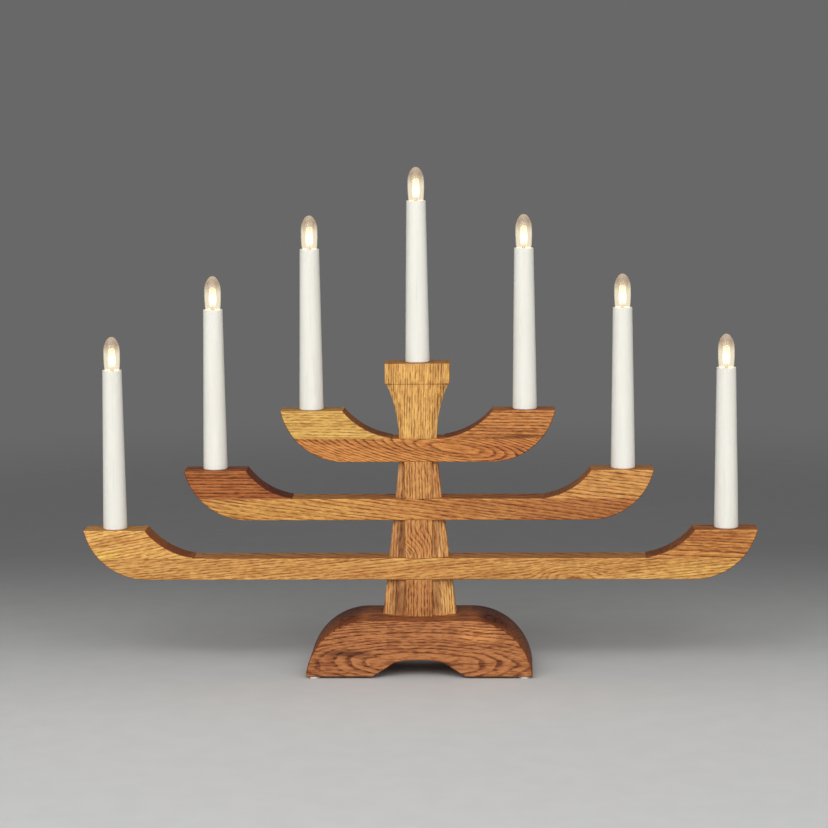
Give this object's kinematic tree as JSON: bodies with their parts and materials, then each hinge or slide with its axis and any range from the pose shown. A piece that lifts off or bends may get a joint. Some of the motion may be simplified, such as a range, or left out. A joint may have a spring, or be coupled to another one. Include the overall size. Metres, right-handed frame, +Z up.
{
  "type": "electric candle arch",
  "caption": "Stepped wooden electric candle arch: upturned arms on a tapering post and an arched base, with white candle sleeves and small screw-in lamps.",
  "frame": {"origin": "on the surface it stands on, under the middle of the base", "axes": "+X along the arms to the right as seen from the front, +Y from the front to the back, +Z up"},
  "size_m": [0.5436, 0.06, 0.4093],
  "materials": {
    "oak_base": "oiled oak, satin",
    "oak_post": "oiled oak, satin",
    "oak_boards": "oiled oak, satin",
    "oak_capital": "oiled oak, satin",
    "oak_covers": "oiled oak, satin",
    "oak_low_bar": "oiled oak, satin",
    "oak_low_left": "oiled oak, satin",
    "oak_low_right": "oiled oak, satin",
    "oak_middle_bar": "oiled oak, satin",
    "oak_middle_left": "oiled oak, satin",
    "oak_middle_right": "oiled oak, satin",
    "oak_top_bar": "oiled oak, satin",
    "oak_top_left": "oiled oak, satin",
    "oak_top_right": "oiled oak, satin",
    "sleeve_plastic": "satin moulded, warm white",
    "holder_plastic": "moulded, off white",
    "shell_brass": "plain pressed",
    "cap_nickel": "nickel plated, rolled",
    "bulb_glass": "clear blown",
    "filament_wire": "drawn wire on a clear stem",
    "lead_sheath": "white sheath",
    "pad_rubber": "soft white",
    "screw_steel": "bright zinc"
  },
  "bodies": {
    "frame": {"base": "oak_base", "post_core": "oak_post", "post_left_board": "oak_boards", "post_right_board": "oak_boards", "capital": "oak_capital", "post_cover": "oak_covers", "low_bar": "oak_low_bar", "low_left_block": "oak_low_left", "low_right_block": "oak_low_right", "middle_bar": "oak_middle_bar", "middle_left_block": "oak_middle_left", "middle_right_block": "oak_middle_right", "top_bar": "oak_top_bar", "top_left_block": "oak_top_left", "top_right_block": "oak_top_right", "low_covers": "oak_covers", "middle_covers": "oak_covers", "top_covers": "oak_covers", "foot_pads": "pad_rubber", "base_screw": "screw_steel", "arm_leads": "lead_sheath", "post_lead": "lead_sheath", "holder_shells": "shell_brass", "holder_contacts": "shell_brass", "sleeve_1": "sleeve_plastic", "holder_1": "holder_plastic", "sleeve_2": "sleeve_plastic", "holder_2": "holder_plastic", "sleeve_3": "sleeve_plastic", "holder_3": "holder_plastic", "sleeve_4": "sleeve_plastic", "holder_4": "holder_plastic", "sleeve_5": "sleeve_plastic", "holder_5": "holder_plastic", "sleeve_6": "sleeve_plastic", "holder_6": "holder_plastic", "sleeve_7": "sleeve_plastic", "holder_7": "holder_plastic"},
    "bulb_1_lift": {"bulb_cap_1": "cap_nickel"},
    "bulb_1": {"bulb_glass_1": "bulb_glass", "filament_1": "filament_wire"},
    "bulb_2_lift": {"bulb_cap_2": "cap_nickel"},
    "bulb_2": {"bulb_glass_2": "bulb_glass", "filament_2": "filament_wire"},
    "bulb_3_lift": {"bulb_cap_3": "cap_nickel"},
    "bulb_3": {"bulb_glass_3": "bulb_glass", "filament_3": "filament_wire"},
    "bulb_4_lift": {"bulb_cap_4": "cap_nickel"},
    "bulb_4": {"bulb_glass_4": "bulb_glass", "filament_4": "filament_wire"},
    "bulb_5_lift": {"bulb_cap_5": "cap_nickel"},
    "bulb_5": {"bulb_glass_5": "bulb_glass", "filament_5": "filament_wire"},
    "bulb_6_lift": {"bulb_cap_6": "cap_nickel"},
    "bulb_6": {"bulb_glass_6": "bulb_glass", "filament_6": "filament_wire"},
    "bulb_7_lift": {"bulb_cap_7": "cap_nickel"},
    "bulb_7": {"bulb_glass_7": "bulb_glass", "filament_7": "filament_wire"}
  },
  "joints": [
    {"name": "bulb_1_rise", "type": "slide", "parent": "frame", "child": "bulb_1_lift", "axis": [0, 0, 1], "range_m": [0, 0.0082]},
    {"name": "bulb_1_turn", "type": "hinge", "parent": "bulb_1_lift", "child": "bulb_1", "pos_m": [-0.2475, 0, 0.247], "axis": [0, 0, 1], "range_deg": [0, 1620]},
    {"name": "bulb_2_rise", "type": "slide", "parent": "frame", "child": "bulb_2_lift", "axis": [0, 0, 1], "range_m": [0, 0.0082]},
    {"name": "bulb_2_turn", "type": "hinge", "parent": "bulb_2_lift", "child": "bulb_2", "pos_m": [-0.1647, 0, 0.2958], "axis": [0, 0, 1], "range_deg": [0, 1620]},
    {"name": "bulb_3_rise", "type": "slide", "parent": "frame", "child": "bulb_3_lift", "axis": [0, 0, 1], "range_m": [0, 0.0082]},
    {"name": "bulb_3_turn", "type": "hinge", "parent": "bulb_3_lift", "child": "bulb_3", "pos_m": [-0.086, 0, 0.3441], "axis": [0, 0, 1], "range_deg": [0, 1620]},
    {"name": "bulb_4_rise", "type": "slide", "parent": "frame", "child": "bulb_4_lift", "axis": [0, 0, 1], "range_m": [0, 0.0082]},
    {"name": "bulb_4_turn", "type": "hinge", "parent": "bulb_4_lift", "child": "bulb_4", "pos_m": [0, 0, 0.3824], "axis": [0, 0, 1], "range_deg": [0, 1620]},
    {"name": "bulb_5_rise", "type": "slide", "parent": "frame", "child": "bulb_5_lift", "axis": [0, 0, 1], "range_m": [0, 0.0082]},
    {"name": "bulb_5_turn", "type": "hinge", "parent": "bulb_5_lift", "child": "bulb_5", "pos_m": [0.086, 0, 0.3441], "axis": [0, 0, 1], "range_deg": [0, 1620]},
    {"name": "bulb_6_rise", "type": "slide", "parent": "frame", "child": "bulb_6_lift", "axis": [0, 0, 1], "range_m": [0, 0.0082]},
    {"name": "bulb_6_turn", "type": "hinge", "parent": "bulb_6_lift", "child": "bulb_6", "pos_m": [0.1647, 0, 0.2958], "axis": [0, 0, 1], "range_deg": [0, 1620]},
    {"name": "bulb_7_rise", "type": "slide", "parent": "frame", "child": "bulb_7_lift", "axis": [0, 0, 1], "range_m": [0, 0.0082]},
    {"name": "bulb_7_turn", "type": "hinge", "parent": "bulb_7_lift", "child": "bulb_7", "pos_m": [0.2475, 0, 0.247], "axis": [0, 0, 1], "range_deg": [0, 1620]}
  ],
  "couplings": [
    {"joint": "bulb_1_rise", "follows": "bulb_1_turn", "m_per_rad": 0.00028871},
    {"joint": "bulb_2_rise", "follows": "bulb_2_turn", "m_per_rad": 0.00028871},
    {"joint": "bulb_3_rise", "follows": "bulb_3_turn", "m_per_rad": 0.00028871},
    {"joint": "bulb_4_rise", "follows": "bulb_4_turn", "m_per_rad": 0.00028871},
    {"joint": "bulb_5_rise", "follows": "bulb_5_turn", "m_per_rad": 0.00028871},
    {"joint": "bulb_6_rise", "follows": "bulb_6_turn", "m_per_rad": 0.00028871},
    {"joint": "bulb_7_rise", "follows": "bulb_7_turn", "m_per_rad": 0.00028871}
  ]
}
